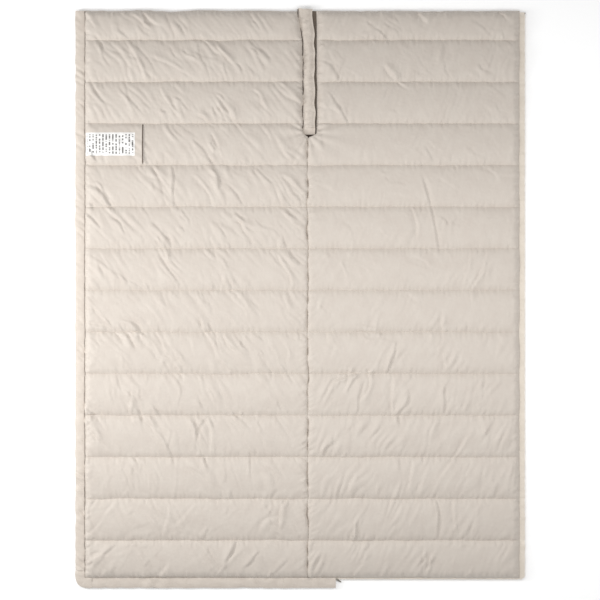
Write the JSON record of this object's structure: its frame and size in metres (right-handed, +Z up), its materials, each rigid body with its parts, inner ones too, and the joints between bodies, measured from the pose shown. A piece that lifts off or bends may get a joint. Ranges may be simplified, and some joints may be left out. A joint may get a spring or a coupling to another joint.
{
  "type": "camp quilt",
  "caption": "Zip-round down camp quilt lying open flat, lining up, with a centre seam to fold on, sewn-through baffles, a zipped head slit, draft flaps and an inner pocket.",
  "frame": {"origin": "bottom centre of the quilt's box, on the floor under the open quilt", "axes": "+X from the left half to the right half, +Y towards the head end, +Z up through the lining"},
  "size_m": [1.508, 1.939, 0.0374],
  "materials": {
    "lining": "matte downproof taffeta",
    "shell": "matte downproof taffeta",
    "down": "loose down",
    "flap": "matte taffeta, two layers",
    "tape": "woven zip tape",
    "coil": "nylon coil",
    "label": "white satin ribbon",
    "thread": "polyester thread",
    "metal": "coated die cast"
  },
  "bodies": {
    "left": {"outer_shell_left": "shell", "lining_left": "lining", "down_fill_left_01": "down", "down_fill_left_02": "down", "down_fill_left_03": "down", "down_fill_left_04": "down", "down_fill_left_05": "down", "down_fill_left_06": "down", "down_fill_left_07": "down", "down_fill_left_08": "down", "down_fill_left_09": "down", "down_fill_left_10": "down", "down_fill_left_11": "down", "down_fill_left_12": "down", "down_fill_left_13": "down", "down_fill_left_14": "down", "quilting_stitches_left": "thread", "inner_pocket": "lining", "care_label": "label", "corner_flap": "flap", "foot_flap_end_left": "flap", "slit_flap_seam": "flap", "main_zip_tape_left": "tape", "main_zip_coil_left": "coil", "main_zip_pin": "metal", "main_zip_stop_left": "metal", "slit_zip_tape_left": "tape", "slit_zip_coil_left": "coil", "slit_zip_top_stop": "metal"},
    "right": {"outer_shell_right": "shell", "lining_right": "lining", "down_fill_right_01": "down", "down_fill_right_02": "down", "down_fill_right_03": "down", "down_fill_right_04": "down", "down_fill_right_05": "down", "down_fill_right_06": "down", "down_fill_right_07": "down", "down_fill_right_08": "down", "down_fill_right_09": "down", "down_fill_right_10": "down", "down_fill_right_11": "down", "down_fill_right_12": "down", "down_fill_right_13": "down", "down_fill_right_14": "down", "quilting_stitches_right": "thread", "foot_flap_end_right": "flap", "main_zip_tape_right": "tape", "main_zip_coil_right": "coil", "main_zip_box": "metal", "main_zip_stop_right": "metal", "slit_zip_tape_right": "tape", "slit_zip_coil_right": "coil"},
    "side_flap": {"side_flap": "flap"},
    "foot_flap": {"foot_flap": "flap"},
    "slit_flap": {"slit_flap": "flap"},
    "main_slider": {"main_zip_slider": "metal"},
    "main_pull": {"main_zip_pull": "metal"},
    "slit_slider": {"slit_zip_slider": "metal"},
    "slit_pull": {"slit_zip_pull": "metal"}
  },
  "joints": [
    {"name": "centre_fold", "type": "hinge", "parent": "left", "child": "right", "pos_m": [0.024, 0, 0.037], "axis": [0, -1, 0], "range_deg": [0, 180]},
    {"name": "side_flap_lift", "type": "hinge", "parent": "left", "child": "side_flap", "pos_m": [-0.723, 0.0135, 0.0119], "axis": [0, -1, 0], "range_deg": [-130, 0]},
    {"name": "foot_flap_lift", "type": "hinge", "parent": "left", "child": "foot_flap", "pos_m": [-0.3775, -0.9355, 0.0119], "axis": [1, 0, 0], "range_deg": [-130, 0]},
    {"name": "slit_flap_lift", "type": "hinge", "parent": "left", "child": "slit_flap", "pos_m": [0.0115, 0.758, 0.0145], "axis": [0, 1, 0], "range_deg": [-120, 0]},
    {"name": "main_zip_travel", "type": "slide", "parent": "right", "child": "main_slider", "axis": [1, 0, 0], "range_m": [0, 0.58]},
    {"name": "main_pull_swing", "type": "hinge", "parent": "main_slider", "child": "main_pull", "pos_m": [0.1195, -0.9413, 0.00445], "axis": [0.5, 0.866, 0], "range_deg": [0, 110]},
    {"name": "slit_zip_travel", "type": "slide", "parent": "left", "child": "slit_slider", "axis": [0, 1, 0], "range_m": [0, 0.37]},
    {"name": "slit_pull_swing", "type": "hinge", "parent": "slit_slider", "child": "slit_pull", "pos_m": [0.0225, 0.571, 0.00445], "axis": [-1, 0, 0], "range_deg": [0, 110]}
  ]
}
